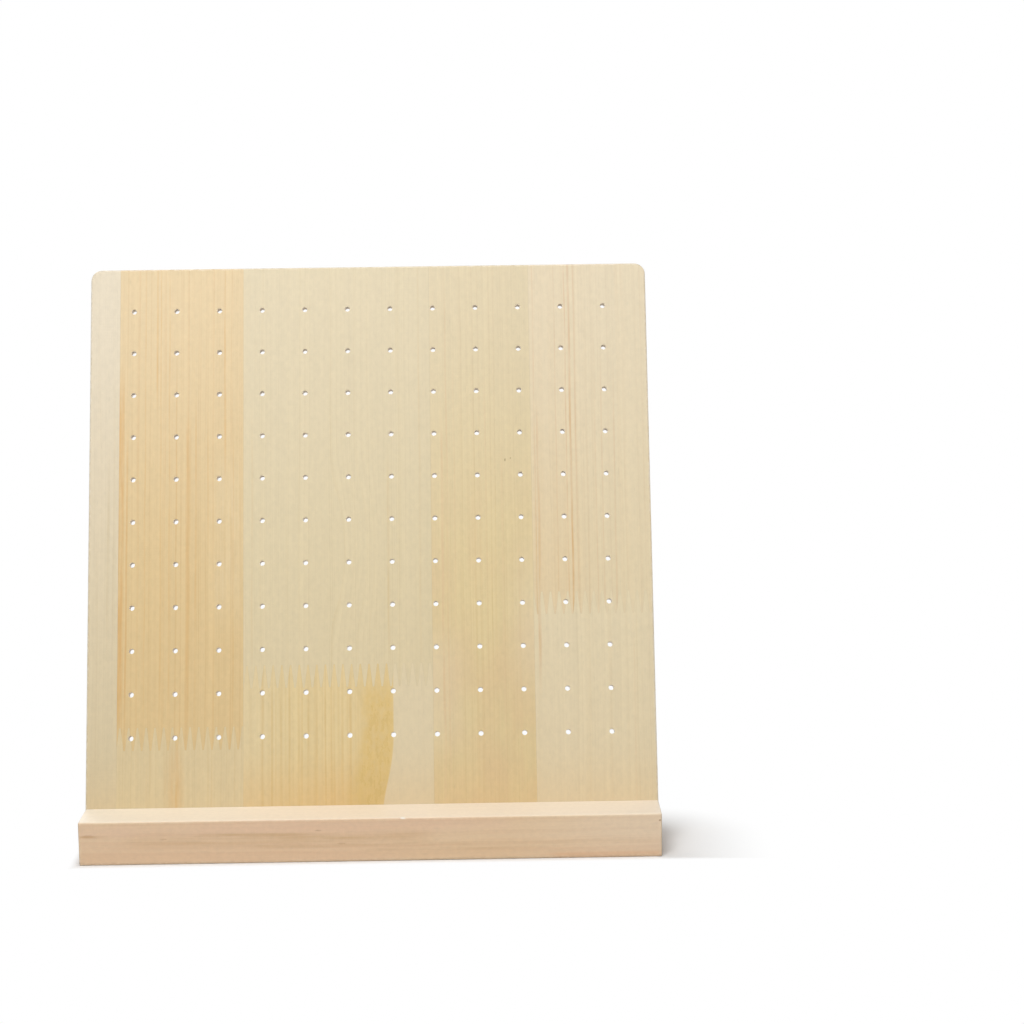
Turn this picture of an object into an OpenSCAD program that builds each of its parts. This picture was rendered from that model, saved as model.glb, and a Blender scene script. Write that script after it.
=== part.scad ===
// Earring display stand: a perforated pine board that leans back in a slotted pine bar.
// The board is edge-glued from five staves, and three of them are lengthened by finger joints.
// Origin at the centre of the bar's underside, +X right, +Y away from the viewer, +Z up.

/* [Board] */
// Width of the board across its staves
board_w = 300; // [260:1:380]
// Height of the board, measured along its lean
board_h = 300; // [240:1:380]
// Thickness of the board
board_t = 5; // [4:0.5:9]
// Radius of the board's two top corners
corner_r = 6; // [2:0.5:12]
// Rounding along the board's outer edges
board_edge_r = 1; // [0.4:0.1:1.5]
// Backward lean of the board from upright
lean = 18; // [8:1:24]

/* [Staves] */
// Width of the first stave from the left
stave_1_w = 16; // [10:0.5:40]
// Width of the second stave, beside the third, which takes what the other four leave
stave_2_w = 66.5; // [30:0.5:80]
// Width of the fourth stave
stave_4_w = 54; // [30:0.5:70]
// Width of the fifth stave
stave_5_w = 63.5; // [30:0.5:80]

/* [Post holes] */
// Diameter of a hole for an earring post
hole_d = 2.7; // [1.5:0.1:3.5]
// Distance between neighbouring holes, across and up
hole_pitch = 23; // [14:0.5:40]
// Least distance from the board's sides and top edge to the middle of a hole
hole_margin = 23.5; // [12:0.5:40]
// Distance from the bar's top to the middle of the lowest holes, along the board
hole_floor = 36.5; // [12:0.5:60]

/* [Finger joints] */
// Length of a finger along the grain
finger_l = 12; // [6:0.5:20]
// Width of a finger's blunt tip
finger_tip = 0.8; // [0.6:0.1:1.4]
// Distance between fingers, brought to the nearest that fits a whole number between two holes
finger_step = 4.5; // [4:0.1:8]
// Height of the second stave's joint above the bar's top, along the board
joint_2_h = 36; // [20:0.5:200]
// Height of the third stave's joint above the bar's top, along the board
joint_3_h = 68; // [20:0.5:200]
// Height of the fifth stave's joint above the bar's top, along the board
joint_5_h = 105; // [20:0.5:200]

/* [Bar] */
// Reach of the bar past each side of the board
bar_over = 0; // [0:0.5:20]
// Depth of the bar from front to back
bar_d = 70; // [56:1:110]
// Height of the bar
bar_h = 23; // [18:0.5:40]
// Rounding along the bar's edges
bar_edge_r = 1; // [0.5:0.1:4]
// Distance on the bar's top from its front to the board
land = 25; // [16:0.5:36]
// Depth of the slot along the board's front face
slot_l = 10; // [6:0.5:12]
// Clearance between the board and each wall of the slot
slot_clear = 0.1; // [0:0.05:0.5]

/* [Hidden] */
$fn = 48;

// Reach of a cutter past the faces that it cuts through
over = 1;

// Width of the bar
bar_w = board_w + 2 * bar_over;

// Left edges of the staves, and the board's right edge
seam_x = [
    -board_w / 2,
    -board_w / 2 + stave_1_w,
    -board_w / 2 + stave_1_w + stave_2_w,
    board_w / 2 - stave_5_w - stave_4_w,
    board_w / 2 - stave_5_w,
    board_w / 2
];

// Holes are centred across the board and counted up from the bar
cols = 1 + floor((board_w - 2 * hole_margin) / hole_pitch + 0.001);
rows = 1 + floor((board_h - slot_l - hole_floor - hole_margin) / hole_pitch + 0.001);
hole_xs = [for (c = [0 : cols - 1]) (c - (cols - 1) / 2) * hole_pitch];
hole_zs = [for (r = [0 : rows - 1]) slot_l + hole_floor + r * hole_pitch];

// Distance between fingers, a whole number of them to each pitch of the holes
finger_pitch = hole_pitch / round(hole_pitch / finger_step);

// Toothed line through a joint at height z, as outline points from left to right.
// Each column of holes runs midway between a finger's middle and the next notch's,
// so that no hole cuts the end off a finger. Just right of a hole the line points
// down where way is 1 and up where way is -1. Its ends reach past the board.
function finger_line(z, way) = [
    for (x = [hole_xs[0] - cols * hole_pitch : finger_pitch : board_w])
        for (p = [
            [finger_pitch / 4 - finger_tip / 2, -1],
            [finger_pitch / 4 + finger_tip / 2, -1],
            [finger_pitch * 3 / 4 - finger_tip / 2, 1],
            [finger_pitch * 3 / 4 + finger_tip / 2, 1]
        ])
            [x + p[0], z + way * p[1] * finger_l / 2]
];

// Moves what is drawn on the upright board, its lower front edge on the X axis, into the slot
module lean_back() {
    translate([0, land - bar_d / 2 - slot_l * sin(lean), bar_h - slot_l * cos(lean)])
        rotate([-lean, 0, 0])
            children();
}

// Rectangle with its lower left corner at the origin and its four corners rounded
module soft_rect(w, h, r) {
    translate([r, 0])
        square([w - 2 * r, h]);
    translate([0, r])
        square([w, h - 2 * r]);
    for (x = [r, w - r])
        for (y = [r, h - r])
            translate([x, y])
                circle(r);
}

// Extrudes a profile drawn as [thickness, height] across the board
module across(x0, x1) {
    translate([x0, 0, 0])
        rotate([90, 0, 90])
            linear_extrude(x1 - x0)
                children();
}

// Extrudes an outline drawn as [across, height] through the board and past both faces
module through_board() {
    translate([0, board_t + over, 0])
        rotate([90, 0, 0])
            linear_extrude(board_t + 2 * over)
                children();
}

// Length of board between two seams, with its top edge rounded
module plank(x0, x1) {
    across(x0, x1)
        union() {
            square([board_t, board_h - board_edge_r]);
            soft_rect(board_t, board_h, board_edge_r);
        }
}

// Rounds an outer stave's free side: its long edges, and its top corner as a turned disc.
// side is -1 on the left of the board and 1 on its right.
module free_side(side) {
    x_edge = side * board_w / 2;
    x_turn = x_edge - side * corner_r;
    z_turn = board_h - corner_r;
    difference() {
        children();
        // the square corner and the sharp long edges
        translate([min(x_turn, x_edge + side * over), -over, z_turn])
            cube([corner_r + over, board_t + 2 * over, corner_r + over]);
        for (y = [0, board_t])
            translate([x_edge, y, -over])
                linear_extrude(board_h)
                    edge_waste(side, y == 0 ? 1 : -1);
    }
    // the corner's disc, most of it inside the plank
    translate([x_turn, 0, z_turn])
        rotate([-90, 0, 0])
            rotate_extrude()
                corner_profile();
}

// Waste outside a rounded long edge, with the edge at the origin.
// The wood lies against side across the board, and towards inward through its thickness.
module edge_waste(side, inward) {
    difference() {
        translate([side > 0 ? -board_edge_r : -over, inward > 0 ? -over : -board_edge_r])
            square(board_edge_r + over);
        translate([-side * board_edge_r, inward * board_edge_r])
            circle(board_edge_r);
    }
}

// Half section of the turned corner: radius to the right, board thickness upwards
module corner_profile() {
    square([corner_r - board_edge_r, board_t]);
    translate([0, board_edge_r])
        square([corner_r, board_t - 2 * board_edge_r]);
    for (y = [board_edge_r, board_t - board_edge_r])
        translate([corner_r - board_edge_r, y])
            circle(board_edge_r);
}

// Post holes that touch the board between two seams
module post_holes(x0, x1) {
    for (x = hole_xs)
        if (x > x0 - hole_d && x < x1 + hole_d)
            for (z = hole_zs)
                translate([x, -over, z])
                    rotate([-90, 0, 0])
                        cylinder(h = board_t + 2 * over, d = hole_d);
}

// Length of a stave on one side of its joint: joint_h is the joint's height above the bar's top,
// way tells the joint's line which way to turn first, and z_end lies past the board on that side
module stave_length(joint_h, way, z_end) {
    line = finger_line(slot_l + joint_h, way);
    intersection() {
        children();
        through_board()
            polygon(concat(line, [[line[len(line) - 1][0], z_end], [line[0][0], z_end]]));
    }
}

// Stave number n, its full height, with its holes; side is given for the two outer staves
module full_stave(n, side = 0) {
    x0 = seam_x[n - 1];
    x1 = seam_x[n];
    difference() {
        if (side == 0)
            plank(x0, x1);
        else
            free_side(side)
                plank(x0, x1);
        post_holes(x0, x1);
    }
}

module stave_1() {
    color("#e6cfae")
        lean_back()
            full_stave(1, -1);
}

module stave_2_upper() {
    color("#dcb588")
        lean_back()
            stave_length(joint_2_h, 1, board_h + over)
                full_stave(2);
}

module stave_2_lower() {
    color("#dfc5a0")
        lean_back()
            stave_length(joint_2_h, 1, -over)
                full_stave(2);
}

module stave_3_upper() {
    color("#e4ceae")
        lean_back()
            stave_length(joint_3_h, -1, board_h + over)
                full_stave(3);
}

module stave_3_lower() {
    color("#d8b888")
        lean_back()
            stave_length(joint_3_h, -1, -over)
                full_stave(3);
}

module stave_4() {
    color("#dfc294")
        lean_back()
            full_stave(4);
}

module stave_5_upper() {
    color("#e2c8a0")
        lean_back()
            stave_length(joint_5_h, -1, board_h + over)
                full_stave(5, 1);
}

module stave_5_lower() {
    color("#e5d0b2")
        lean_back()
            stave_length(joint_5_h, -1, -over)
                full_stave(5, 1);
}

// Bar with every edge rounded, as the common part of three rounded prisms
module bar_blank() {
    intersection() {
        translate([-bar_w / 2, bar_d / 2, 0])
            rotate([90, 0, 0])
                linear_extrude(bar_d)
                    soft_rect(bar_w, bar_h, bar_edge_r);
        translate([-bar_w / 2, -bar_d / 2, 0])
            rotate([90, 0, 90])
                linear_extrude(bar_w)
                    soft_rect(bar_d, bar_h, bar_edge_r);
        translate([-bar_w / 2, -bar_d / 2, 0])
            linear_extrude(bar_h)
                soft_rect(bar_w, bar_d, bar_edge_r);
    }
}

module base_bar() {
    color("#e8c9a2")
        difference() {
            bar_blank();
            lean_back()
                translate([-bar_w / 2 - over, -slot_clear, 0])
                    cube([bar_w + 2 * over, board_t + 2 * slot_clear, bar_h]);
        }
}

stave_1();
stave_2_upper();
stave_2_lower();
stave_3_upper();
stave_3_lower();
stave_4();
stave_5_upper();
stave_5_lower();
base_bar();
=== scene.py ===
"""Finishes the earring display stand in raw pine and sets it on a white studio floor.

The board's staves and the bar keep their modelled shapes. Each length of wood gets its own
pine, worked out through its whole thickness, so that faces, edges, holes and end grain agree.
"""

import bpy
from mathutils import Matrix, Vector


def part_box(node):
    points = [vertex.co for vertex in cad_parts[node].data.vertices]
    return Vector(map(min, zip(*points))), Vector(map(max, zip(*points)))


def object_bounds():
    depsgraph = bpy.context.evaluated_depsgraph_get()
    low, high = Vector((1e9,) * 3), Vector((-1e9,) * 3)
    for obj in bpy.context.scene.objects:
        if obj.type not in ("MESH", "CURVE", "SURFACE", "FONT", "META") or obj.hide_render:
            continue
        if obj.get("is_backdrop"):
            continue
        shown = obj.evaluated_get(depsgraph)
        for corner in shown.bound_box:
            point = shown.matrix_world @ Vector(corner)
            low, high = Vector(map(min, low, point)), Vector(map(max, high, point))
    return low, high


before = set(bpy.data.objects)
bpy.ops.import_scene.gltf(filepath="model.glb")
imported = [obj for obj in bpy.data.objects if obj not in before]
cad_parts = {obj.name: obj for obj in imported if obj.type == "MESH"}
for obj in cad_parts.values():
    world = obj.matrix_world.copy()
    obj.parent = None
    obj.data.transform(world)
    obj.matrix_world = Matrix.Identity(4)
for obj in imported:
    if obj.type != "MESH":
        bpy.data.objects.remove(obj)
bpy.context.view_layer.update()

import math

import bmesh
import bpy
from bpy.props import FloatProperty, FloatVectorProperty, PointerProperty
from mathutils import Euler, Matrix, Vector

bl_info = {
    "name": "Earring Display Stand Finish",
    "version": (1, 0, 0),
    "blender": (4, 5, 0),
    "location": "View3D > Sidebar > Display Stand",
    "description": "Pine finishes for a perforated earring display stand",
    "category": "Material",
}

MM = 0.001
# Post holes across the board and up it
COLUMNS, ROWS = 12, 11
# The floor's paint as the camera sees it; stage.floor is what lights the stand from below
SHADOW_PAINT = (0.88, 0.87, 0.86, 1.0)


def tint(code):
    """Display colour from a hex code, as three values from 0 to 1."""
    return tuple(int(code[i:i + 2], 16) / 255 for i in (0, 2, 4))


def linear(colour):
    """Light values of a display colour, with full alpha, for a shader socket."""
    values = [v / 12.92 if v <= 0.04045 else ((v + 0.055) / 1.055) ** 2.4 for v in colour]
    return (*values, 1.0)


def wood_colour(name, description, code):
    return FloatVectorProperty(
        name=name, description=description, subtype="COLOR_GAMMA", size=3, min=0, max=1, default=tint(code))


def length(name, description, value, high=1.0):
    return FloatProperty(
        name=name, description=description, unit="LENGTH", precision=4, default=value, min=0, max=high)


def power(name, description, watts):
    return FloatProperty(name=name, description=description, unit="POWER", default=watts, min=0)


def turn(name, description, degrees):
    return FloatProperty(name=name, description=description, subtype="ANGLE", default=math.radians(degrees))


def share(name, description, value, high=1.0):
    return FloatProperty(
        name=name, description=description, subtype="FACTOR", default=value, min=0, max=high)


# Settings

class BoardSettings(bpy.types.PropertyGroup):
    lean: turn("Lean", "Backward lean of the board", 18)
    thickness: length("Thickness", "Thickness of the board", 0.005)
    height: length("Height", "Height of the board along its lean", 0.3)
    hole_pitch: length("Hole pitch", "Distance between neighbouring post holes", 0.023)
    hole_diameter: length("Hole diameter", "Diameter of a post hole", 0.0027)
    top_row: length("Top row", "Distance from the board's top edge to the highest holes", 0.0235)
    finger_pitch: length("Finger pitch", "Distance between a joint's fingers", 0.0046)
    finger_length: length("Finger length", "Length of a finger along the grain", 0.012)
    fibre: share("Fibre", "How far the fine fibres lighten and darken the wood", 0.055)
    # Edges lighten towards a pale colour: partly handling wear, partly painted highlight on the rounded edges
    wear: share("Wear", "How far handling has dulled the board's edges", 0.7)


class FirstStaveSettings(bpy.types.PropertyGroup):
    early: wood_colour("Early wood", "Pale wood between the ring lines", "decdac")
    late: wood_colour("Late wood", "Colour of the ring lines", "d0bc93")
    ring: length("Ring width", "Distance between ring lines", 0.0024)


class SecondStaveSettings(bpy.types.PropertyGroup):
    early: wood_colour("Upper early wood", "Warm wood of the upper length", "ddc18c")
    late: wood_colour("Upper late wood", "Ring lines of the upper length", "cfa66b")
    streak: wood_colour("Streak", "Darkest lines of the upper length", "d6a55e")
    ring: length("Ring width", "Distance between the upper length's ring lines", 0.0031)
    joint: length("Joint", "Height of the finger joint, up the board from its foot", 0.046)
    lower_early: wood_colour("Lower early wood", "Pale wood of the lower length", "dcc79b")
    lower_late: wood_colour("Lower late wood", "Ring lines of the lower length", "ceb381")


class ThirdStaveSettings(bpy.types.PropertyGroup):
    early: wood_colour("Upper early wood", "Pale wood of the upper length", "ddcca5")
    late: wood_colour("Upper late wood", "Ring lines of the upper length", "d1bd90")
    ring: length("Ring width", "Distance between the upper length's ring lines", 0.0027)
    joint: length("Joint", "Height of the finger joint, up the board from its foot", 0.078)
    lower_early: wood_colour("Lower early wood", "Straw wood of the lower length", "e3ce9c")
    lower_late: wood_colour("Lower late wood", "Ring lines of the lower length", "d1b070")
    resin: wood_colour("Resin", "Resin-soaked patch of the lower length", "ddbd77")
    lower_ring: length("Lower ring width", "Distance between the lower length's ring lines", 0.0048)


class FourthStaveSettings(bpy.types.PropertyGroup):
    early: wood_colour("Early wood", "Yellowish wood between the ring lines", "dec997")
    late: wood_colour("Late wood", "Colour of the ring lines", "cfb47d")
    brown: wood_colour("Brown", "Browner wood in the lower half", "daba8e")
    ring: length("Ring width", "Distance between ring lines", 0.0033)


class FifthStaveSettings(bpy.types.PropertyGroup):
    early: wood_colour("Upper early wood", "Pale wood of the upper length", "e3d1ac")
    late: wood_colour("Upper late wood", "Ring lines of the upper length", "d6bd92")
    streak: wood_colour("Streak", "Orange lines of the upper length", "d2a468")
    ring: length("Ring width", "Distance between the upper length's ring lines", 0.0036)
    joint: length("Joint", "Height of the finger joint, up the board from its foot", 0.115)
    lower_early: wood_colour("Lower early wood", "Pale wood of the lower length", "e5d5b2")
    lower_late: wood_colour("Lower late wood", "Ring lines of the lower length", "d8c49c")


class BarSettings(bpy.types.PropertyGroup):
    early: wood_colour("Early wood", "Pinkish cream wood between the ring lines", "eccfaa")
    late: wood_colour("Late wood", "Colour of the ring lines", "d8ad81")
    ring: length("Ring width", "Distance between ring lines", 0.0042)
    brown: wood_colour("Brown", "Browner lines along the bar's front", "c99f6a")
    # The bar's top colour is partly paler wood, partly painted highlight from the light above
    top: wood_colour("Top", "Paler wood of the bar's top", "f9ebd8")
    # Edges lighten towards a pale colour: partly handling wear, partly painted highlight on the rounded edges
    wear: share("Wear", "How far handling has dulled the bar's edges", 0.5)


class StageSettings(bpy.types.PropertyGroup):
    floor: wood_colour("Floor", "Colour of the light that the studio floor sends back", "e6e6e6")
    key_power: power("Key power", "Power of the lamp in front, at the left", 6.3)
    key_turn: turn("Key turn", "How far the key lamp hangs to the left of the front", 15)
    key_height: turn("Key height", "Height of the key lamp as an angle from the board's middle", 38)
    key_distance: length("Key distance", "Distance of the key lamp from the board's middle", 1.5, high=5.0)
    top_power: power("Top power", "Power of the lamp overhead", 5.8)
    top_turn: turn("Top turn", "How far the top lamp hangs to the left of the front", 8)
    top_height: turn("Top height", "Height of the top lamp as an angle from the board's middle", 71)
    top_distance: length("Top distance", "Distance of the top lamp from the board's middle", 1.05, high=5.0)
    side_power: power("Side power", "Power of the lamp at the right", 1.2)
    side_turn: turn("Side turn", "How far the side lamp hangs to the left of the front", -62)
    side_height: turn("Side height", "Height of the side lamp as an angle from the board's middle", 18)
    side_distance: length("Side distance", "Distance of the side lamp from the board's middle", 1.2, high=5.0)
    back_power: power("Back power", "Power of the lamp behind", 3.2)
    back_turn: turn("Back turn", "How far the back lamp hangs to the left of the front", 160)
    back_height: turn("Back height", "Height of the back lamp as an angle from the board's middle", 35)
    back_distance: length("Back distance", "Distance of the back lamp from the board's middle", 1.3, high=5.0)
    lamp_size: length("Lamp size", "Width of each lamp's soft square", 0.65, high=3.0)
    sky: share("Sky", "Strength of the even light from all round", 0.24, high=2.0)
    shadow_reach: length("Shadow reach", "How far right of the bar and behind it its shadow shows", 0.06)
    contact_reach: length("Contact reach", "How far left of the bar and before it its shadow shows", 0.006)
    camera_place: FloatVectorProperty(
        name="Camera", description="Place of the camera", subtype="TRANSLATION", unit="LENGTH",
        default=(0.06077, -1.24186, 0.37124))
    camera_heading: turn("Heading", "Turn of the camera towards the right", 0.669)
    camera_dip: turn("Dip", "How far the camera looks down", 8.959)
    camera_roll: turn("Roll", "How far the camera's right side hangs", 0.744)
    focal_length: FloatProperty(
        name="Focal length", description="Focal length in millimetres on a 36 mm sensor", default=85.29)


class DisplayStandSettings(bpy.types.PropertyGroup):
    board: PointerProperty(type=BoardSettings)
    first_stave: PointerProperty(type=FirstStaveSettings)
    second_stave: PointerProperty(type=SecondStaveSettings)
    third_stave: PointerProperty(type=ThirdStaveSettings)
    fourth_stave: PointerProperty(type=FourthStaveSettings)
    fifth_stave: PointerProperty(type=FifthStaveSettings)
    bar: PointerProperty(type=BarSettings)
    stage: PointerProperty(type=StageSettings)


# Shader building

def put(tree, kind, inputs=None, **settings):
    """New node with its settings, and its inputs given as values or as the sockets that feed them."""
    node = tree.nodes.new(kind)
    for key, value in settings.items():
        setattr(node, key, value)
    for key, value in (inputs or {}).items():
        if isinstance(value, bpy.types.NodeSocket):
            tree.links.new(value, node.inputs[key])
        else:
            node.inputs[key].default_value = value
    return node


def calc(tree, operation, *values):
    return put(tree, "ShaderNodeMath", dict(enumerate(values)), operation=operation).outputs[0]


def times(tree, *values):
    """Product of two or more values."""
    product, *others = values
    for value in others:
        product = calc(tree, "MULTIPLY", product, value)
    return product


def plus(tree, a, b):
    return calc(tree, "ADD", a, b)


def minus(tree, a, b):
    return calc(tree, "SUBTRACT", a, b)


def vector(tree, operation, *values):
    """Result of an operation on vectors, which is a number for LENGTH and DOT_PRODUCT."""
    node = put(tree, "ShaderNodeVectorMath", dict(enumerate(values)), operation=operation)
    return node.outputs["Value" if operation in ("LENGTH", "DOT_PRODUCT") else "Vector"]


def joined(tree, x, y, z=0.0):
    """Vector made of three numbers."""
    return put(tree, "ShaderNodeCombineXYZ", {0: x, 1: y, 2: z}).outputs[0]


def scaled(tree, place, across, depth, along):
    """Place with each of its three measures multiplied, to stretch a pattern along the grain."""
    return vector(tree, "MULTIPLY", place, (across, depth, along))


def parts(tree, place):
    """The across, depth and along measures of a place."""
    node = put(tree, "ShaderNodeSeparateXYZ", {0: place})
    return node.outputs[0], node.outputs[1], node.outputs[2]


def ease(tree, value, start, end, low=0.0, high=1.0):
    """Smooth step of a value from low at start to high at end."""
    inputs = {"Value": value, "From Min": start, "From Max": end, "To Min": low, "To Max": high}
    return put(tree, "ShaderNodeMapRange", inputs, interpolation_type="SMOOTHSTEP").outputs[0]


def noise(tree, place, detail=2.0, roughness=0.5):
    inputs = {"Vector": place, "Scale": 1.0, "Detail": detail, "Roughness": roughness}
    return put(tree, "ShaderNodeTexNoise", inputs, noise_dimensions="3D").outputs["Fac"]


def mixed(tree, mask, under, over, blend="MIX"):
    inputs = {0: mask, 6: under, 7: over}
    return put(tree, "ShaderNodeMix", inputs, data_type="RGBA", blend_type=blend).outputs[2]


def grey(tree, value):
    """Value as a grey colour, for multiplying into a colour."""
    return put(tree, "ShaderNodeCombineColor", {0: value, 1: value, 2: value}).outputs[0]


def effect(name, inputs, outputs):
    """Empty node group with named sockets. Each input is (name, default), a place or a number."""
    tree = bpy.data.node_groups.new(name, "ShaderNodeTree")
    for socket, default in inputs:
        is_place = socket in ("Place", "Centre", "Half size", "Stretch", "Facing")
        kind = "NodeSocketVector" if is_place else "NodeSocketFloat"
        made = tree.interface.new_socket(name=socket, in_out="INPUT", socket_type=kind)
        if default is not None:
            made.default_value = default
    for socket in outputs:
        tree.interface.new_socket(name=socket, in_out="OUTPUT", socket_type="NodeSocketFloat")
    given = tree.nodes.new("NodeGroupInput").outputs
    result = tree.nodes.new("NodeGroupOutput").inputs
    return tree, given, result


def use(tree, group, **inputs):
    """Outputs of a node group placed in a material. An underscore in an input's name is a space."""
    node = tree.nodes.new("ShaderNodeGroup")
    node.node_tree = bpy.data.node_groups[group]
    for key, value in inputs.items():
        socket = node.inputs[key.replace("_", " ")]
        if isinstance(value, bpy.types.NodeSocket):
            tree.links.new(value, socket)
        else:
            socket.default_value = value
    return node.outputs


# Effects shared by the woods. A place is in millimetres: across the grain, through the thickness,
# and along the grain.

def make_growth_rings():
    """Rings round a pith that runs along the grain: each ring's dark late line, and its own tone."""
    tree, given, result = effect("Growth rings", [
        ("Place", None), ("Pith across", 0.0), ("Pith depth", -60.0), ("Ring width", 3.0),
        ("Waver", 1.0), ("Swell across", 0.0), ("Swell along", 0.0), ("Swell size", 20.0),
        ("Swell", 0.0), ("Seed", 0.0)], ["Line", "Tone"])
    across, depth, along = parts(tree, given["Place"])
    moved = vector(tree, "ADD", given["Place"], given["Seed"])
    slow = minus(tree, noise(tree, scaled(tree, moved, 0.03, 0.03, 0.006)), 0.5)
    quick = minus(tree, noise(tree, scaled(tree, moved, 0.2, 0.2, 0.035)), 0.5)
    waver = calc(tree, "MULTIPLY_ADD", quick, 0.3, times(tree, slow, 2.4))
    waver = times(tree, waver, given["Waver"])

    a = minus(tree, across, given["Pith across"])
    b = minus(tree, depth, given["Pith depth"])
    radius = vector(tree, "LENGTH", joined(tree, a, b))

    near_x = calc(tree, "DIVIDE", minus(tree, across, given["Swell across"]), given["Swell size"])
    near_z = calc(tree, "DIVIDE", minus(tree, along, given["Swell along"]),
                  times(tree, given["Swell size"], 2.4))
    near = vector(tree, "LENGTH", joined(tree, near_x, near_z))
    swell = times(tree, ease(tree, near, 0.0, 1.0, 1.0, 0.0), given["Swell"])

    ring = plus(tree, plus(tree, radius, waver), swell)
    ring = calc(tree, "DIVIDE", ring, given["Ring width"])
    spread = minus(tree, noise(tree, scaled(tree, moved, 0.07, 0.07, 0.0008)), 0.5)
    ring = calc(tree, "MULTIPLY_ADD", spread, 3.5, ring)
    count = calc(tree, "FLOOR", ring)
    within = calc(tree, "FRACT", ring)
    own = put(tree, "ShaderNodeTexWhiteNoise", {"W": plus(tree, count, given["Seed"])},
              noise_dimensions="1D").outputs["Value"]
    rise = ease(tree, within, 0.38, 0.9)
    fall = ease(tree, within, 0.92, 1.0, 1.0, 0.0)
    strength = calc(tree, "MULTIPLY_ADD", times(tree, own, own), 0.75, 0.15)
    fading = ease(tree, noise(tree, scaled(tree, moved, 0.4, 0.4, 0.011), 3.0, 0.6), 0.32, 0.68, 0.3, 1.0)
    strength = times(tree, strength, fading)
    line = times(tree, times(tree, rise, fall), strength)
    tree.links.new(line, result["Line"])
    tree.links.new(own, result["Tone"])


def make_fibre():
    """Fine fibres along the grain, short resin canals, and slow patches of warmer wood."""
    tree, given, result = effect("Fibre", [
        ("Place", None), ("Seed", 0.0)], ["Fibre", "Mottle", "Canal", "Patch"])
    moved = vector(tree, "ADD", given["Place"], given["Seed"])
    fine = noise(tree, scaled(tree, moved, 2.6, 2.6, 0.05), 3.0, 0.6)
    bundle = noise(tree, scaled(tree, moved, 0.55, 0.55, 0.012), 2.0, 0.55)
    band = noise(tree, scaled(tree, moved, 0.13, 0.13, 0.0035), 2.0, 0.5)
    mix = calc(tree, "MULTIPLY_ADD", fine, 0.35, times(tree, bundle, 0.3))
    tree.links.new(calc(tree, "MULTIPLY_ADD", band, 0.35, mix), result["Fibre"])
    tree.links.new(noise(tree, scaled(tree, moved, 0.5, 0.5, 0.33), 2.0, 0.6), result["Mottle"])
    dashes = noise(tree, scaled(tree, moved, 3.4, 3.4, 0.16), 1.0)
    tree.links.new(ease(tree, dashes, 0.68, 0.76), result["Canal"])
    tree.links.new(noise(tree, scaled(tree, moved, 0.022, 0.022, 0.009), 3.0, 0.55), result["Patch"])


def make_streak():
    """One line of colour that runs along the grain between two heights, with soft wandering sides."""
    tree, given, result = effect("Streak", [
        ("Place", None), ("Across", 0.0), ("Half width", 1.0), ("From", 0.0), ("To", 300.0),
        ("Fade", 20.0), ("Waver", 0.5)], ["Mask"])
    across, _, along = parts(tree, given["Place"])
    wander = minus(tree, noise(tree, scaled(tree, given["Place"], 0.05, 0.05, 0.014)), 0.5)
    middle = calc(tree, "MULTIPLY_ADD", wander, times(tree, given["Waver"], 3.0), given["Across"])
    off = calc(tree, "ABSOLUTE", minus(tree, across, middle))
    side = ease(tree, off, times(tree, given["Half width"], 0.3),
                times(tree, given["Half width"], 1.25), 1.0, 0.0)
    start = ease(tree, along, minus(tree, given["From"], given["Fade"]),
                 plus(tree, given["From"], given["Fade"]))
    end = ease(tree, along, minus(tree, given["To"], given["Fade"]),
               plus(tree, given["To"], given["Fade"]), 1.0, 0.0)
    broken = noise(tree, scaled(tree, given["Place"], 0.5, 0.5, 0.03), 3.0, 0.6)
    broken = ease(tree, broken, 0.3, 0.66, 0.25, 1.0)
    mask = times(tree, times(tree, side, broken), times(tree, start, end))
    tree.links.new(mask, result["Mask"])


def make_edge_wear_and_highlight():
    """Worn wood and painted highlight along the edges of a squared piece: close to two of its outer faces at
    once.
    """
    tree, given, result = effect("Edge wear", [
        ("Place", None), ("Centre", None), ("Half size", None), ("Width", 1.2)], ["Mask"])
    off = vector(tree, "ABSOLUTE", vector(tree, "SUBTRACT", given["Place"], given["Centre"]))
    x, y, z = parts(tree, vector(tree, "SUBTRACT", given["Half size"], off))
    nearest = calc(tree, "MINIMUM", x, y)
    second = calc(tree, "MAXIMUM", nearest, calc(tree, "MINIMUM", calc(tree, "MAXIMUM", x, y), z))
    rubbed_and_lit = noise(tree, scaled(tree, given["Place"], 0.35, 0.35, 0.35), 4.0, 0.65)
    reach = times(tree, given["Width"], ease(tree, rubbed_and_lit, 0.3, 0.75, 0.35, 1.5))
    tree.links.new(ease(tree, second, times(tree, reach, 0.2), reach, 1.0, 0.0), result["Mask"])


def make_drilled_holes():
    """Grid of drilled holes: the crushed rim on the face round each, and the wall inside it."""
    tree, given, result = effect("Drilled holes", [
        ("Place", None), ("Pitch", 23.0), ("Columns", 12.0), ("Rows", 11.0), ("First across", -126.5),
        ("First up", 46.5), ("Radius", 1.35)], ["Rim", "Wall"])
    across, _, along = parts(tree, given["Place"])
    offs = []
    for measure, first, number in ((across, "First across", "Columns"), (along, "First up", "Rows")):
        step = calc(tree, "DIVIDE", minus(tree, measure, given[first]), given["Pitch"])
        step = calc(tree, "MAXIMUM", calc(tree, "ROUND", step), 0.0)
        step = calc(tree, "MINIMUM", step, minus(tree, given[number], 1.0))
        middle = calc(tree, "MULTIPLY_ADD", step, given["Pitch"], given[first])
        offs.append(minus(tree, measure, middle))
    past = minus(tree, vector(tree, "LENGTH", joined(tree, *offs)), given["Radius"])
    torn = noise(tree, scaled(tree, given["Place"], 1.7, 1.7, 0.9), 2.0)
    reach = ease(tree, torn, 0.3, 0.7, 0.15, 0.7)
    tree.links.new(ease(tree, past, 0.03, reach, 1.0, 0.0), result["Rim"])
    tree.links.new(ease(tree, past, 0.02, 0.06, 1.0, 0.0), result["Wall"])


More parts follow.
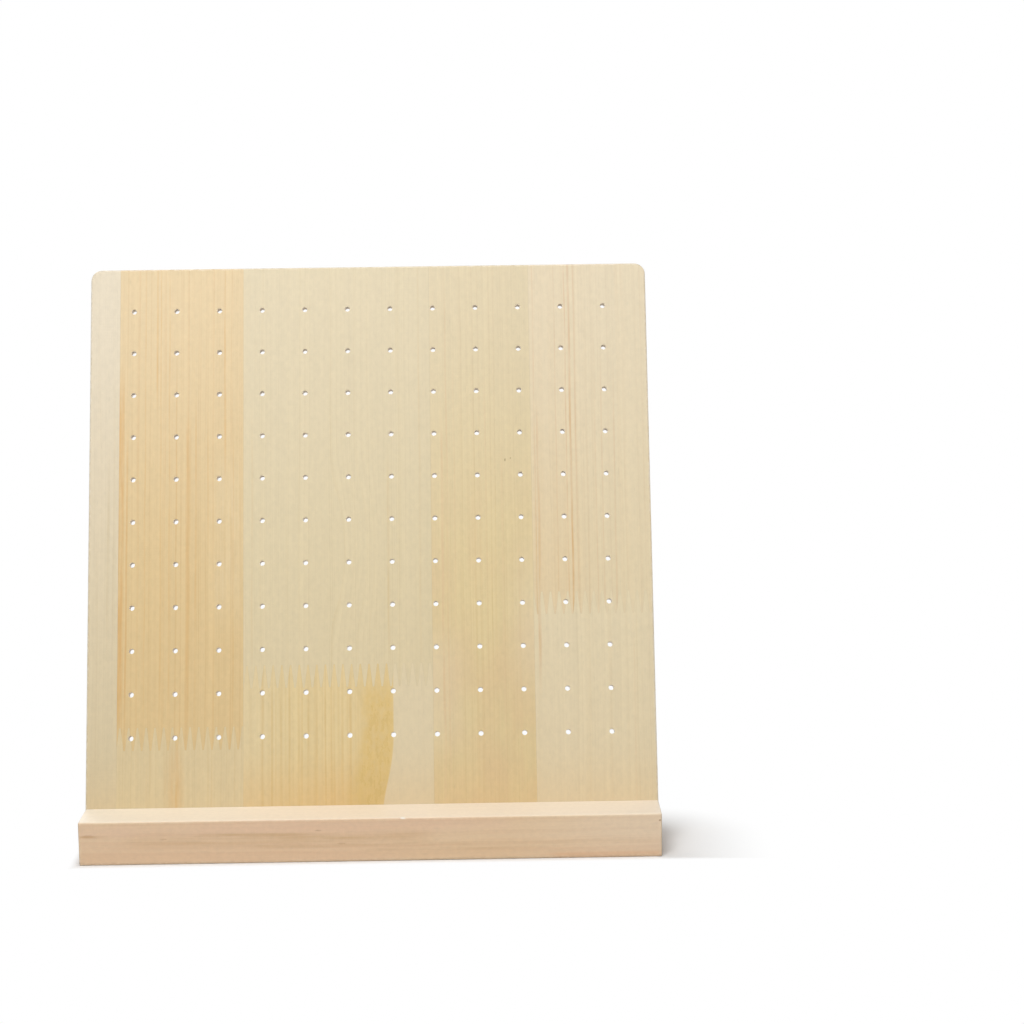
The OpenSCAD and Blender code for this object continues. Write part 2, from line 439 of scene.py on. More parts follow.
def make_glue_line():
    """Hairline of glue along a stave's two long sides."""
    tree, given, result = effect("Glue line", [
        ("Place", None), ("Left", 0.0), ("Right", 10.0), ("Half width", 0.14)], ["Mask"])
    across, _, _ = parts(tree, given["Place"])
    left = calc(tree, "ABSOLUTE", minus(tree, across, given["Left"]))
    right = calc(tree, "ABSOLUTE", minus(tree, across, given["Right"]))
    near = calc(tree, "DIVIDE", calc(tree, "MINIMUM", left, right), given["Half width"])
    tree.links.new(ease(tree, near, 0.4, 1.6, 1.0, 0.0), result["Mask"])


def make_finger_glue():
    """Hairline of glue that follows the toothed line of a finger joint."""
    tree, given, result = effect("Finger glue", [
        ("Place", None), ("Joint", 0.0), ("Way", 1.0), ("Start", -149.5), ("Pitch", 4.6),
        ("Finger length", 12.0), ("Tip", 0.8), ("Half width", 0.1)], ["Mask"])
    across, _, along = parts(tree, given["Place"])
    phase = calc(tree, "FRACT", calc(tree, "DIVIDE", minus(tree, across, given["Start"]), given["Pitch"]))
    swing = calc(tree, "ABSOLUTE", minus(tree, calc(tree, "FRACT", plus(tree, phase, 0.25)), 0.5))
    swing = times(tree, minus(tree, swing, 0.25), given["Pitch"])
    half_run = calc(tree, "MULTIPLY_ADD", given["Pitch"], 0.25, times(tree, given["Tip"], -0.5))
    reach = calc(tree, "DIVIDE", swing, half_run)
    reach = calc(tree, "MAXIMUM", calc(tree, "MINIMUM", reach, 1.0), -1.0)
    reach = times(tree, reach, given["Way"])
    half = times(tree, given["Finger length"], 0.5)
    rise = minus(tree, minus(tree, along, given["Joint"]), times(tree, reach, half))
    steep = calc(tree, "DIVIDE", half, half_run)
    flank = calc(tree, "LESS_THAN", calc(tree, "ABSOLUTE", reach), 0.999)
    slope = calc(tree, "MULTIPLY_ADD", flank, minus(tree, steep, 1.0), 1.0)
    near = calc(tree, "DIVIDE", calc(tree, "ABSOLUTE", rise), slope)
    near = calc(tree, "DIVIDE", near, given["Half width"])
    tree.links.new(ease(tree, near, 0.4, 1.6, 1.0, 0.0), result["Mask"])


def make_facing():
    """Where a surface faces one way or the opposite way, such as end grain that faces along the grain."""
    tree, given, result = effect("Facing", [("Facing", None), ("From", 0.35), ("To", 0.9)], ["Mask"])
    facing = put(tree, "ShaderNodeTexCoord").outputs["Normal"]
    along = vector(tree, "DOT_PRODUCT", facing, given["Facing"])
    mask = ease(tree, calc(tree, "ABSOLUTE", along), given["From"], given["To"])
    tree.links.new(mask, result["Mask"])


def make_speck():
    """One small dark speck or chip with a ragged edge."""
    tree, given, result = effect("Speck", [
        ("Place", None), ("Centre", None), ("Stretch", None), ("Size", 1.0)], ["Mask"])
    off = vector(tree, "SUBTRACT", given["Place"], given["Centre"])
    away = vector(tree, "LENGTH", vector(tree, "DIVIDE", off, given["Stretch"]))
    ragged = minus(tree, noise(tree, scaled(tree, given["Place"], 2.1, 2.1, 1.2), 2.0), 0.5)
    away = calc(tree, "MULTIPLY_ADD", ragged, given["Size"], away)
    mask = ease(tree, away, times(tree, given["Size"], 0.35), given["Size"], 1.0, 0.0)
    tree.links.new(mask, result["Mask"])


def make_planing():
    """Height of a planed and lightly sanded surface: knife ripples across the grain, and scratches."""
    tree, given, result = effect("Planing", [("Place", None), ("Seed", 0.0)], ["Height"])
    moved = vector(tree, "ADD", given["Place"], given["Seed"])
    _, _, along = parts(tree, moved)
    bend = times(tree, noise(tree, scaled(tree, moved, 0.05, 0.05, 0.02)), 9.0)
    ripple = calc(tree, "SINE", calc(tree, "MULTIPLY_ADD", along, 3.9, bend))
    dull = ease(tree, noise(tree, scaled(tree, moved, 0.03, 0.03, 0.03)), 0.4, 0.65)
    scratch = noise(tree, scaled(tree, moved, 5.0, 5.0, 0.25), 3.0, 0.7)
    height = calc(tree, "MULTIPLY_ADD", times(tree, ripple, dull), 0.08, times(tree, scratch, 0.5))
    tree.links.new(height, result["Height"])


def make_effects():
    """Builds each shared effect once."""
    if "Growth rings" in bpy.data.node_groups:
        return
    make_growth_rings()
    make_fibre()
    make_streak()
    make_edge_wear_and_highlight()
    make_drilled_holes()
    make_glue_line()
    make_finger_glue()
    make_facing()
    make_speck()
    make_planing()


# The woods

class Pine:
    """One length's material while it is built: its tree, its place in millimetres, and its colour so far."""

    def __init__(self, name):
        make_effects()
        self.material = bpy.data.materials.new(name)
        self.material.use_nodes = True
        self.tree = self.material.node_tree
        self.tree.nodes.clear()
        self.place = None
        self.colour = None
        self.height = None
        self.gloss = None
        self.fibres = None
        self.seed = 0.0

    def grown(self, early, late, seed, bold=0.6, **rings):
        """Base colour from the growth rings and the fibres."""
        tree = self.tree
        self.seed = seed
        grain = use(tree, "Growth rings", Place=self.place, Seed=seed, **rings)
        self.fibres = use(tree, "Fibre", Place=self.place, Seed=seed)
        fine = use(tree, "Growth rings", Place=self.place, Seed=seed + 3.7,
                   **{**rings, "Ring_width": rings["Ring_width"] * 0.41, "Swell": 0.0})
        line = calc(tree, "MULTIPLY_ADD", fine["Line"], 0.45, times(tree, grain["Line"], bold))
        wood = mixed(tree, line, linear(early), linear(late))
        tone = calc(tree, "MULTIPLY_ADD", grain["Tone"], 0.035, 0.9825)
        self.colour = mixed(tree, 1.0, wood, grey(tree, tone), "MULTIPLY")
        self.height = times(tree, grain["Line"], 0.5)
        return self

    def laid(self, mask, colour, strength=1.0):
        """Another colour laid over the wood where the mask says."""
        amount = times(self.tree, mask, strength)
        over = colour if isinstance(colour, bpy.types.NodeSocket) else linear(colour)
        self.colour = mixed(self.tree, amount, self.colour, over)

    def darkened(self, mask, to):
        """Wood multiplied down to a share of its colour where the mask says."""
        level = calc(self.tree, "MULTIPLY_ADD", mask, to - 1.0, 1.0)
        self.colour = mixed(self.tree, 1.0, self.colour, grey(self.tree, level), "MULTIPLY")

    def aged(self, pale, foot_shade, grey_sheen=0.12):
        """Painted sheen that makes the wood paler and more silvery towards the board's top, and painted shade
        that makes it honey-coloured at its foot, warmer still just above the bar.
        """
        along = parts(self.tree, self.place)[2]
        # painted sheen: paler and greyer towards the board's top
        self.laid(ease(self.tree, along, 110.0, 300.0), tint("f0e6d2"), pale)
        self.laid(ease(self.tree, along, 110.0, 300.0), tint("c8c4c0"), grey_sheen)
        # painted shade towards the foot, with painted warm bounce from the bar just above it
        self.laid(ease(self.tree, along, 0.0, 150.0, 1.0, 0.0), tint("d8b47c"), foot_shade)
        self.laid(ease(self.tree, along, 8.0, 45.0, 1.0, 0.0), tint("dfb372"), 0.14)
        return self

    def specks(self, colour, marks):
        """Small marks given as (centre, stretch, size, strength)."""
        for centre, stretch, size, strength in marks:
            speck = use(self.tree, "Speck", Place=self.place, Centre=centre, Stretch=stretch, Size=size)
            self.laid(speck["Mask"], colour, strength)
            self.height = calc(self.tree, "MULTIPLY_ADD", speck["Mask"], -1.2, self.height)

    def streaks(self, colour, lines):
        """Streaks given as (across, half width, from, to, strength), with heights up from the foot."""
        for across, half_width, low, high, strength in lines:
            mask = use(self.tree, "Streak", Place=self.place, Across=across, Half_width=half_width,
                       From=low, To=high)["Mask"]
            self.laid(mask, colour, strength)

    def finished(self, grain, fibre, wear_and_highlight_mask, wear, rubbed_and_lit="fbf6ec"):
        """Fibres, canals, end grain, edge wear with its painted highlight, and the surface itself."""
        tree = self.tree
        level = calc(tree, "MULTIPLY_ADD", self.fibres["Fibre"], fibre * 2, 1.0 - fibre * 2.2)
        level = calc(tree, "MULTIPLY_ADD", self.fibres["Mottle"], fibre * 2.4, level)
        self.colour = mixed(tree, 1.0, self.colour, grey(tree, level), "MULTIPLY")
        self.darkened(self.fibres["Canal"], 0.93)
        end = use(tree, "Facing", Facing=grain)["Mask"]
        self.darkened(end, 0.8)
        # edges laid towards a pale colour: wear, and painted highlight where the rounded edges catch the
        # light
        self.laid(wear_and_highlight_mask, mixed(tree, 0.5, self.colour, linear(tint(rubbed_and_lit))), wear)

        rough = calc(tree, "MULTIPLY_ADD", self.fibres["Fibre"], 0.1, 0.35)
        rough = calc(tree, "MULTIPLY_ADD", end, 0.14, rough)
        rough = calc(tree, "MULTIPLY_ADD", wear_and_highlight_mask, 0.08, rough)
        if self.gloss is not None:
            rough = calc(tree, "MULTIPLY_ADD", self.gloss, -0.12, rough)
        planing = use(tree, "Planing", Place=self.place, Seed=self.seed)["Height"]
        height = plus(tree, self.height, planing)
        height = calc(tree, "MULTIPLY_ADD", self.fibres["Fibre"], 0.5, height)
        height = calc(tree, "MULTIPLY_ADD", self.fibres["Canal"], -0.4, height)
        bump = put(tree, "ShaderNodeBump", {"Strength": 0.5, "Distance": 0.00012, "Height": height})
        shader = put(tree, "ShaderNodeBsdfPrincipled", {
            "Base Color": self.colour, "Roughness": rough, "Normal": bump.outputs["Normal"], "IOR": 1.5})
        out = tree.nodes.new("ShaderNodeOutputMaterial")
        tree.links.new(shader.outputs["BSDF"], out.inputs["Surface"])
        return self.material


def board_frame(board):
    """Place of the board's lower front edge, in metres, read from the first stave's box."""
    low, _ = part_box("stave_1")
    return Vector((0.0, low.y, low.z + board.thickness * math.sin(board.lean)))


def board_pine(context, name):
    """Pine that is measured on the upright board: across, through and up from the lower front edge."""
    board = context.scene.display_stand.board
    pine = Pine(name)
    here = put(pine.tree, "ShaderNodeTexCoord").outputs["Object"]
    pine.place = put(pine.tree, "ShaderNodeMapping", {
        "Vector": here, "Location": board_frame(board), "Rotation": (-board.lean, 0, 0),
        "Scale": (MM, MM, MM)}, vector_type="TEXTURE").outputs["Vector"]
    return pine


def finish_length(context, pine, node, joint=None, way=1):
    """Glue lines, drilled holes with painted light on their walls, and the outer edges' wear with painted
    highlight, then the surface, on one length of the board.
    """
    board = context.scene.display_stand.board
    tree = pine.tree
    height = board.height / MM
    thick = board.thickness / MM
    pitch = board.hole_pitch / MM
    first = -(COLUMNS - 1) / 2 * pitch
    low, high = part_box(node)
    glue = use(tree, "Glue line", Place=pine.place, Left=low.x / MM, Right=high.x / MM)["Mask"]
    pine.darkened(glue, 0.93)
    if joint is not None:
        toothed = use(
            tree, "Finger glue", Place=pine.place, Joint=joint / MM, Way=way, Start=first - pitch,
            Pitch=board.finger_pitch / MM, Finger_length=board.finger_length / MM)["Mask"]
        pine.darkened(toothed, 0.94)
    holes = use(
        tree, "Drilled holes", Place=pine.place, Pitch=pitch, Columns=COLUMNS, Rows=ROWS, First_across=first,
        First_up=height - board.top_row / MM - (ROWS - 1) * pitch, Radius=board.hole_diameter / MM / 2)
    pine.darkened(holes["Rim"], 0.97)
    # pale walls inside the holes: paler drilled wood, and painted light that stands in for light reaching
    # into them
    pine.laid(holes["Wall"], tint("fff3e0"), 0.9)
    pine.height = calc(tree, "MULTIPLY_ADD", holes["Rim"], -0.6, pine.height)
    worn_and_lit = use(tree, "Edge wear", Place=pine.place, Centre=(0, thick / 2, height / 2),
               Half_size=(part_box("base_bar")[1].x / MM, thick / 2, height / 2))["Mask"]
    grain = (0.0, math.sin(board.lean), math.cos(board.lean))
    wear_wood(node, pine.finished(grain, board.fibre, worn_and_lit, board.wear))


def wear_wood(node, material):
    """Gives a CAD node its wood."""
    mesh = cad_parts[node].data
    mesh.materials.clear()
    mesh.materials.append(material)


# Operators

class STAND_OT_first_stave(bpy.types.Operator):
    """Finish the narrow pale stave at the board's left edge"""
    bl_idname = "stand.first_stave"
    bl_label = "First Stave"

    def execute(self, context):
        wood = context.scene.display_stand.first_stave
        pine = board_pine(context, "Pine stave 1").grown(
            wood.early, wood.late, 11.0, Ring_width=wood.ring / MM,
            Pith_across=-60.0, Pith_depth=34.0, Waver=1.2)
        pine.aged(0.28, 0.22)
        along = parts(pine.tree, pine.place)[2]
        pine.laid(ease(pine.tree, along, 20.0, 190.0, 1.0, 0.0), tint("c4c292"), 0.13)
        pine.streaks(wood.late, [
            (-139.5, 0.8, 90, 190, 0.5), (-136.6, 0.6, 60, 230, 0.4), (-145.2, 0.7, 20, 150, 0.4)])
        finish_length(context, pine, "stave_1")
        return {"FINISHED"}


class STAND_OT_second_stave(bpy.types.Operator):
    """Finish the second stave: a warm upper length and a pale lower one"""
    bl_idname = "stand.second_stave"
    bl_label = "Second Stave"

    def execute(self, context):
        wood = context.scene.display_stand.second_stave
        pine = board_pine(context, "Pine stave 2 upper").grown(
            wood.early, wood.late, 23.0, Ring_width=wood.ring / MM,
            Pith_across=-205.0, Pith_depth=-26.0, Waver=1.1)
        pine.aged(0.17, 0.1, 0.02)
        pine.streaks(wood.streak, [
            (-132.9, 1.9, 55, 235, 0.75), (-129.6, 0.6, 60, 200, 0.45), (-120.0, 0.5, 60, 300, 0.3),
            (-113.6, 0.6, 230, 300, 0.55), (-111.8, 0.5, 60, 300, 0.35), (-107.2, 0.5, 60, 290, 0.35),
            (-103.4, 0.5, 60, 240, 0.3), (-97.0, 1.6, 60, 215, 0.4), (-92.8, 0.7, 50, 220, 0.35),
            (-86.2, 0.6, 150, 210, 0.3), (-77.4, 0.6, 190, 300, 0.5), (-73.0, 0.5, 60, 210, 0.3)])
        pine.streaks(tint("e8d6b0"), [(-76.0, 11.0, 112, 190, 0.3)])
        finish_length(context, pine, "stave_2_upper", wood.joint)

        pine = board_pine(context, "Pine stave 2 lower").grown(
            wood.lower_early, wood.lower_late, 37.0, Ring_width=3.4,
            Pith_across=-30.0, Pith_depth=22.0, Waver=1.4)
        pine.streaks(wood.streak, [
            (-103.8, 5.5, 0, 38, 0.35), (-102.4, 1.4, 0, 34, 0.6),
            (-118.0, 0.8, 0, 24, 0.2), (-84.0, 0.8, 0, 26, 0.2)])
        finish_length(context, pine, "stave_2_lower", wood.joint)
        return {"FINISHED"}


class STAND_OT_third_stave(bpy.types.Operator):
    """Finish the third stave: a pale upper length, and a lower one with bold rings and a resin patch"""
    bl_idname = "stand.third_stave"
    bl_label = "Third Stave"

    def execute(self, context):
        wood = context.scene.display_stand.third_stave
        pine = board_pine(context, "Pine stave 3 upper").grown(
            wood.early, wood.late, 5.0, Ring_width=wood.ring / MM,
            Pith_across=62.0, Pith_depth=-30.0, Waver=1.6,
            Swell_across=-10.0, Swell_along=146.0, Swell_size=24.0, Swell=7.0)
        pine.aged(0.05, 0.06)
        pine.streaks(wood.lower_late, [
            (9.5, 0.8, 92, 190, 0.3), (-63.0, 0.7, 80, 220, 0.2), (26.5, 0.6, 90, 300, 0.2)])
        finish_length(context, pine, "stave_3_upper", wood.joint, way=-1)

        pine = board_pine(context, "Pine stave 3 lower").grown(
            wood.lower_early, wood.lower_late, 71.0, Ring_width=wood.lower_ring / MM,
            Pith_across=-240.0, Pith_depth=18.0, Waver=0.7)
        tree = pine.tree
        across, _, along = parts(tree, pine.place)
        # the resin patch's right side runs straight down from the fingers and then curves in,
        # its left side wanders, and it fades into the fingers
        sweep = calc(tree, "POWER", ease(tree, along, 4.0, 52.0, 1.0, 0.0), 1.6)
        inside = minus(tree, calc(tree, "MULTIPLY_ADD", sweep, -6.0, 11.6), across)
        wander = minus(tree, noise(tree, scaled(tree, pine.place, 0.2, 0.2, 0.05), 3.0), 0.5)
        left = calc(tree, "MULTIPLY_ADD", wander, 9.0, minus(tree, across, -4.5))
        left = plus(tree, left, ease(tree, along, 15.0, 50.0, 5.0, 0.0))
        ragged = noise(tree, scaled(tree, pine.place, 0.3, 0.3, 0.16), 3.0, 0.6)
        patch = times(
            tree, ease(tree, inside, -0.3, 0.9), ease(tree, left, -5.0, 4.0),
            ease(tree, along, 60.0, 82.0, 1.0, 0.3), ease(tree, ragged, 0.3, 0.6, 0.62, 1.08))
        golden = times(
            tree, ease(tree, along, 8.0, 44.0, 0.34, 0.1), ease(tree, across, -60.0, -8.0, 0.75, 1.25))
        pine.laid(ease(tree, across, -66.0, -38.0, 1.0, 0.0), wood.early, 0.5)
        pine.streaks(wood.lower_late, [
            (ring, 0.75, 0, 74, 0.43)
            for ring in (-57.4, -52.6, -47.8, -43.2, -38.4, -33.2, -28.8, -24.2, -19.6, -15.4, -11.0)])
        pine.laid(golden, tint("d9ac62"))
        pine.laid(ease(tree, inside, -0.4, 0.4, 1.0, 0.0), tint("dfcfad"), 0.85)
        pine.aged(0.0, 0.0)
        pine.laid(patch, wood.resin, 0.85)
        pine.darkened(times(tree, patch, ease(tree, along, 14.0, 34.0, 1.0, 0.0)), 0.96)
        pine.gloss = patch
        finish_length(context, pine, "stave_3_lower", wood.joint, way=-1)
        return {"FINISHED"}


class STAND_OT_fourth_stave(bpy.types.Operator):
    """Finish the yellowish fourth stave, browner towards its foot"""
    bl_idname = "stand.fourth_stave"
    bl_label = "Fourth Stave"

    def execute(self, context):
        wood = context.scene.display_stand.fourth_stave
        pine = board_pine(context, "Pine stave 4").grown(
            wood.early, wood.late, 47.0, Ring_width=wood.ring / MM,
            Pith_across=-36.0, Pith_depth=-18.0, Waver=1.0)
        tree = pine.tree
        across, _, along = parts(tree, pine.place)
        low_down = ease(tree, along, 90.0, 215.0, 1.0, 0.0)
        pine.laid(times(tree, low_down, ease(tree, pine.fibres["Patch"], 0.35, 0.6)), wood.brown, 0.6)
        # paler towards both sides below the middle, higher up on the right
        left_side = times(
            tree, ease(tree, across, 34.0, 58.0, 1.0, 0.0), ease(tree, along, 25.0, 55.0),
            ease(tree, along, 80.0, 112.0, 1.0, 0.1))
        right_side = times(
            tree, ease(tree, across, 66.0, 86.0), ease(tree, along, 50.0, 95.0),
            ease(tree, along, 110.0, 165.0, 1.0, 0.0))
        pine.laid(plus(tree, left_side, right_side), tint("e8dcc0"), 0.26)
        pine.aged(0.12, 0.0, 0.22)
        pine.streaks(wood.brown, [
            (38.5, 0.8, 0, 210, 0.6), (41.2, 0.5, 20, 280, 0.4), (45.0, 0.5, 60, 240, 0.25),
            (55.5, 5.0, 125, 178, 0.3), (62.0, 0.6, 60, 230, 0.25), (70.5, 0.8, 0, 200, 0.3),
            (79.0, 0.6, 0, 140, 0.25)])
        pine.specks(tint("8a6a44"), [
            ((72.4, 0.0, 192.4), (1, 1, 2), 0.5, 0.6), ((75.3, 0.0, 193.4), (1, 1, 1.6), 0.4, 0.5)])
        finish_length(context, pine, "stave_4")
        return {"FINISHED"}


class STAND_OT_fifth_stave(bpy.types.Operator):
    """Finish the stave at the board's right edge: an upper length with orange lines and a pale lower one"""
    bl_idname = "stand.fifth_stave"
    bl_label = "Fifth Stave"

    def execute(self, context):
        wood = context.scene.display_stand.fifth_stave
        pine = board_pine(context, "Pine stave 5 upper").grown(
            wood.early, wood.late, 61.0, Ring_width=wood.ring / MM,
            Pith_across=190.0, Pith_depth=-30.0, Waver=1.0)
        pine.streaks(wood.streak, [
            (88.4, 0.45, 100, 310, 0.4), (90.0, 0.8, 60, 215, 0.45), (100.0, 0.4, 110, 310, 0.3),
            (105.6, 0.45, 100, 310, 0.5), (107.9, 0.6, 100, 310, 0.75), (110.6, 0.4, 120, 310, 0.35),
            (121.0, 0.4, 105, 260, 0.25), (124.5, 0.4, 105, 240, 0.25), (131.0, 0.5, 102, 230, 0.3)])
        across, _, along = parts(pine.tree, pine.place)
        warm = ease(pine.tree, across, 98.0, 128.0, 1.0, 0.0)
        warm = times(pine.tree, warm, ease(pine.tree, along, 125.0, 230.0, 1.0, 0.45))
        pine.laid(warm, tint("dcb478"), 0.2)
        pine.aged(0.14, 0.0)
        finish_length(context, pine, "stave_5_upper", wood.joint, way=-1)

        pine = board_pine(context, "Pine stave 5 lower").grown(
            wood.lower_early, wood.lower_late, 83.0, Ring_width=3.2,
            Pith_across=70.0, Pith_depth=-44.0, Waver=1.5)
        pine.streaks(wood.streak, [(89.4, 1.0, 78, 140, 0.45), (139.0, 0.6, 0, 100, 0.15)])
        pine.aged(0.0, 0.12)
        finish_length(context, pine, "stave_5_lower", wood.joint, way=-1)
        return {"FINISHED"}


class STAND_OT_base_bar(bpy.types.Operator):
    """Finish the slotted bar that the board stands in"""
    bl_idname = "stand.base_bar"
    bl_label = "Base Bar"

    def execute(self, context):
        wood = context.scene.display_stand.bar
        low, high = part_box("base_bar")
        pine = Pine("Pine bar")
        tree = pine.tree
        here = put(tree, "ShaderNodeTexCoord").outputs["Object"]
        x, y, z = parts(tree, here)
        pine.place = scaled(tree, joined(tree, y, z, x), 1 / MM, 1 / MM, 1 / MM)
        pine.grown(
            wood.early, wood.late, 7.0, bold=1.0, Ring_width=wood.ring / MM,
            Pith_across=10.0, Pith_depth=-38.0, Waver=2.4)
        # top face: paler wood and painted highlight, whitest towards the left end
        top = use(tree, "Facing", Facing=(0, 0, 1), From=0.5, To=0.95)["Mask"]
        pine.laid(top, wood.top, 0.9)
        # painted light on the bar's right end, as from a lamp at the right
        pine.laid(ease(tree, x, 0.06, 0.15), wood.top, 0.28)
        pine.laid(times(tree, top, ease(tree, x, -0.15, 0.0, 1.0, 0.0)), tint("fff4e0"), 0.6)
        front = minus(tree, 1.0, top)
        pine.laid(times(tree, front, ease(tree, z, 0.003, 0.012, 1.0, 0.0)), wood.late, 0.22)
        foot = times(tree, ease(tree, x, 0.085, 0.1), ease(tree, z, 0.0022, 0.0042, 1.0, 0.0))
        pine.laid(foot, tint("dc9f66"), 0.3)
        # painted contact shade along the bar's bottom, where it meets the floor
        pine.darkened(ease(tree, z, 0.0002, 0.002, 1.0, 0.0), 0.8)
        pink = times(tree, front, ease(tree, pine.fibres["Patch"], 0.35, 0.6))
        pine.laid(times(tree, pink, ease(tree, z, 0.013, 0.017, 0.4, 1.0)), tint("ecc2ac"), 0.32)
        upright = scaled(tree, joined(tree, z, y, x), 1 / MM, 1 / MM, 1 / MM)
        for up, half_width, start, end, amount in (
                (12.6, 4.5, -125, 30, 0.3), (15.3, 1.2, -155, -138, 0.6), (16.0, 1.1, -118, -100, 0.35),
                (15.2, 1.1, -92, -34, 0.35), (13.2, 1.0, -46, -8, 0.3), (8.6, 1.3, -60, 150, 0.2),
                (6.2, 1.0, 0, 90, 0.2)):
            line = use(
                tree, "Streak", Place=upright, Across=up, Half_width=half_width, From=start, To=end, Fade=8.0)
            pine.laid(times(tree, line["Mask"], front), wood.brown, amount)
        pine.specks(tint("fffaf0"), [((-34.6, 22.6, 16.7), (1.6, 1, 2.4), 0.8, 0.9)])
        pine.specks(tint("a9774e"), [
            ((-34.9, 19.4, 148.9), (1, 1, 1), 0.8, 0.7), ((-35.0, 15.4, -145.0), (1, 1.2, 5), 0.9, 0.25),
            ((-35.0, 13.4, -106.5), (1, 0.8, 3), 0.8, 0.25), ((-35.0, 9.7, -15.0), (1, 0.9, 3), 0.9, 0.25),
            ((-35.0, 16.7, -27.0), (1, 0.7, 3), 0.8, 0.3)])
        half = (high - low) / MM / 2
        centre = (high + low) / MM / 2
        worn_and_lit = use(tree, "Edge wear", Place=pine.place, Centre=(centre.y, centre.z, centre.x),
                   Half_size=(half.y, half.z, half.x), Width=2.0)["Mask"]
        wear_wood("base_bar", pine.finished((1.0, 0.0, 0.0), 0.06, worn_and_lit, wood.wear, "f7e4c6"))
        return {"FINISHED"}


class STAND_OT_stage(bpy.types.Operator):
    """Lay the white floor, hang the soft lamps and set the camera"""
    bl_idname = "stand.stage"
    bl_label = "Studio Stage"

    def execute(self, context):
        stage = context.scene.display_stand.stage
        self.lay_floor(context, stage)
        self.light_sky(context, stage)
        for name in ("key", "top", "side", "back"):
            self.hang_lamp(context, stage, name)
        self.set_camera(context, stage)
        context.scene.view_settings.view_transform = "Standard"
        return {"FINISHED"}

    def lay_floor(self, context, stage):
        shape = bmesh.new()
        bmesh.ops.create_circle(shape, cap_ends=True, segments=64, radius=6.0)
        mesh = bpy.data.meshes.new("Studio floor")
        shape.to_mesh(mesh)
        shape.free()
        floor = bpy.data.objects.new("Studio_floor", mesh)
        context.scene.collection.objects.link(floor)
        mesh.materials.append(floor_paint(stage))
        floor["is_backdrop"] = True

    def light_sky(self, context, stage):
        world = bpy.data.worlds.new("Studio sky")
        world.use_nodes = True
        tree = world.node_tree
        tree.nodes.clear()
        even = put(tree, "ShaderNodeBackground", {"Color": (1, 1, 1, 1), "Strength": stage.sky})
        white = put(tree, "ShaderNodeBackground", {"Color": (1, 1, 1, 1), "Strength": 1.0})
        out = tree.nodes.new("ShaderNodeOutputWorld")
        both = put(tree, "ShaderNodeMixShader", {0: seen_rays(tree), 1: even.outputs[0], 2: white.outputs[0]})
        tree.links.new(both.outputs[0], out.inputs["Surface"])
        context.scene.world = world

    def hang_lamp(self, context, stage, name):
        turned, height, distance, watts = (
            getattr(stage, name + "_" + what) for what in ("turn", "height", "distance", "power"))
        data = bpy.data.lights.new(name.capitalize() + " lamp", "AREA")
        data.shape = "SQUARE"
        data.size = stage.lamp_size
        data.energy = watts
        lamp = bpy.data.objects.new(data.name, data)
        context.scene.collection.objects.link(lamp)
        low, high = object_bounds()
        away = Euler((-height, 0, -turned)).to_matrix() @ Vector((0, -1, 0))
        place = (low + high) / 2 + distance * away
        lamp.matrix_world = Matrix.Translation(place) @ away.to_track_quat("Z", "Y").to_matrix().to_4x4()

    def set_camera(self, context, stage):
        data = bpy.data.cameras.new("Camera")
        data.lens = stage.focal_length
        data.sensor_width = 36
        data.clip_start = 0.05
        camera = bpy.data.objects.new("Camera", data)
        context.scene.collection.objects.link(camera)
        aim = Matrix.Rotation(-stage.camera_heading, 4, "Z")
        aim = aim @ Matrix.Rotation(math.radians(90) - stage.camera_dip, 4, "X")
        aim = aim @ Matrix.Rotation(-stage.camera_roll, 4, "Z")
        camera.matrix_world = Matrix.Translation(stage.camera_place) @ aim
        context.scene.camera = camera


def seen_rays(tree):
    """One for what the camera sees straight, in a gloss or through glass."""
    path = put(tree, "ShaderNodeLightPath").outputs
    seen = calc(tree, "MAXIMUM", path["Is Camera Ray"], path["Is Glossy Ray"])
    return calc(tree, "MAXIMUM", seen, path["Is Transmission Ray"])


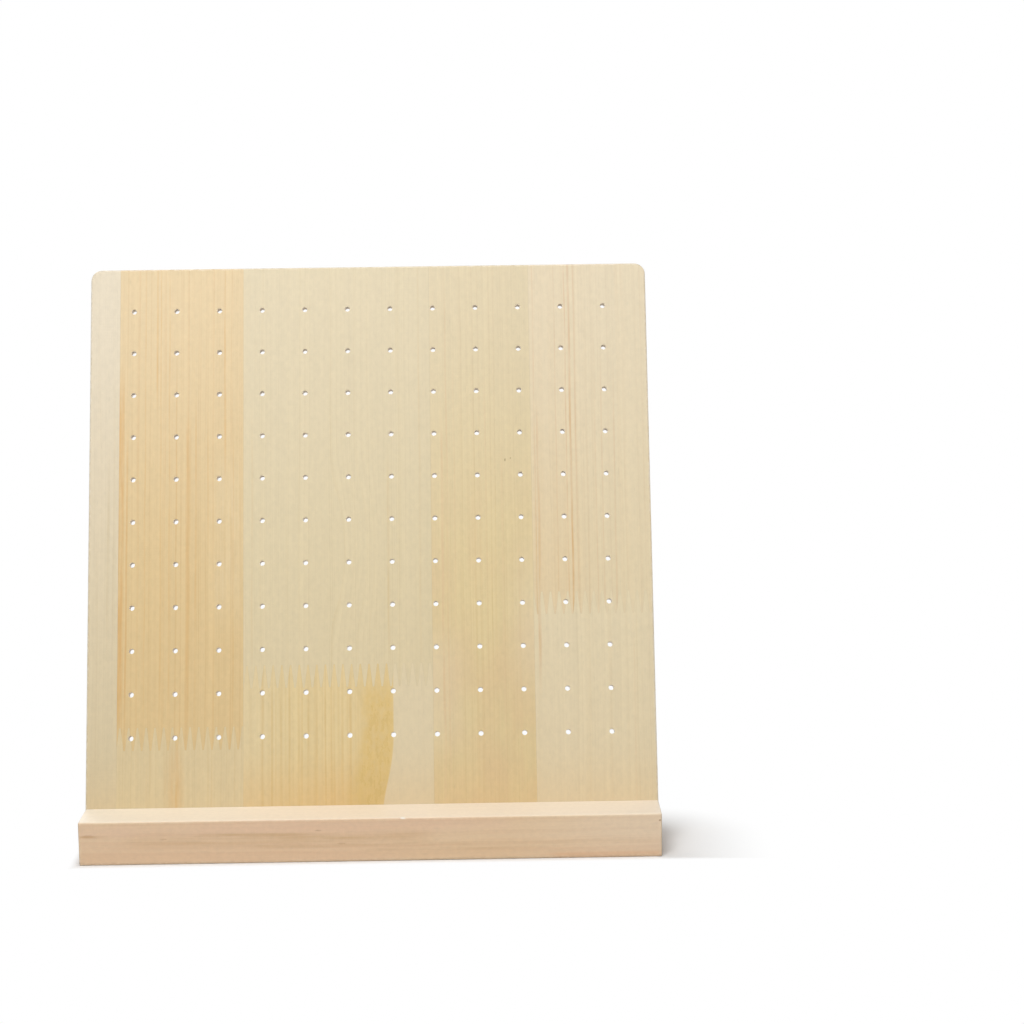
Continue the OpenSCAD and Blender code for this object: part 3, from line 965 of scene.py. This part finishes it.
def floor_paint(stage):
    """White floor that keeps the stand's soft shadow and runs into the white behind it."""
    material = bpy.data.materials.new("Studio floor")
    material.use_nodes = True
    tree = material.node_tree
    tree.nodes.clear()
    seen = seen_rays(tree)
    paint = mixed(tree, seen, linear(stage.floor), SHADOW_PAINT)
    plain = put(tree, "ShaderNodeBsdfDiffuse", {"Color": paint})
    white = put(tree, "ShaderNodeEmission", {"Color": (1, 1, 1, 1), "Strength": 1.0})
    low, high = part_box("base_bar")
    here = put(tree, "ShaderNodeTexCoord").outputs["Object"]
    past = vector(tree, "MAXIMUM", vector(tree, "SUBTRACT", here, (high.x, 0.0, 0.0)), (0, 0, 0))
    behind = vector(tree, "LENGTH", past)
    left, front, _ = parts(tree, vector(tree, "SUBTRACT", (low.x, low.y, 0.0), here))
    share_white = calc(tree, "MAXIMUM", ease(tree, behind, 0.0, stage.shadow_reach),
                       ease(tree, calc(tree, "MAXIMUM", left, front), 0.0, stage.contact_reach))
    share_white = times(tree, seen, share_white)
    both = put(tree, "ShaderNodeMixShader", {0: share_white, 1: plain.outputs[0], 2: white.outputs[0]})
    out = tree.nodes.new("ShaderNodeOutputMaterial")
    tree.links.new(both.outputs[0], out.inputs["Surface"])
    return material


class STAND_PT_panel(bpy.types.Panel):
    """Display stand finishes"""
    bl_idname = "STAND_PT_panel"
    bl_label = "Display Stand"
    bl_space_type = "VIEW_3D"
    bl_region_type = "UI"
    bl_category = "Display Stand"

    def draw(self, context):
        stand = context.scene.display_stand
        for step in STEPS:
            self.layout.operator(step.bl_idname)
        for name in DisplayStandSettings.__annotations__:
            box = self.layout.box()
            box.label(text=name.replace("_", " ").capitalize())
            group = getattr(stand, name)
            for key in group.__annotations__:
                box.prop(group, key)


SETTINGS = (BoardSettings, FirstStaveSettings, SecondStaveSettings, ThirdStaveSettings, FourthStaveSettings,
            FifthStaveSettings, BarSettings, StageSettings, DisplayStandSettings)
STEPS = (STAND_OT_first_stave, STAND_OT_second_stave, STAND_OT_third_stave, STAND_OT_fourth_stave,
         STAND_OT_fifth_stave, STAND_OT_base_bar, STAND_OT_stage)


def register():
    for cls in (*SETTINGS, *STEPS, STAND_PT_panel):
        bpy.utils.register_class(cls)
    bpy.types.Scene.display_stand = PointerProperty(type=DisplayStandSettings)


def unregister():
    del bpy.types.Scene.display_stand
    for cls in reversed((*SETTINGS, *STEPS, STAND_PT_panel)):
        bpy.utils.unregister_class(cls)


def main():
    register()
    bpy.ops.stand.first_stave()
    bpy.ops.stand.second_stave()
    bpy.ops.stand.third_stave()
    bpy.ops.stand.fourth_stave()
    bpy.ops.stand.fifth_stave()
    bpy.ops.stand.base_bar()
    bpy.ops.stand.stage()


if __name__ == "__main__":
    main()
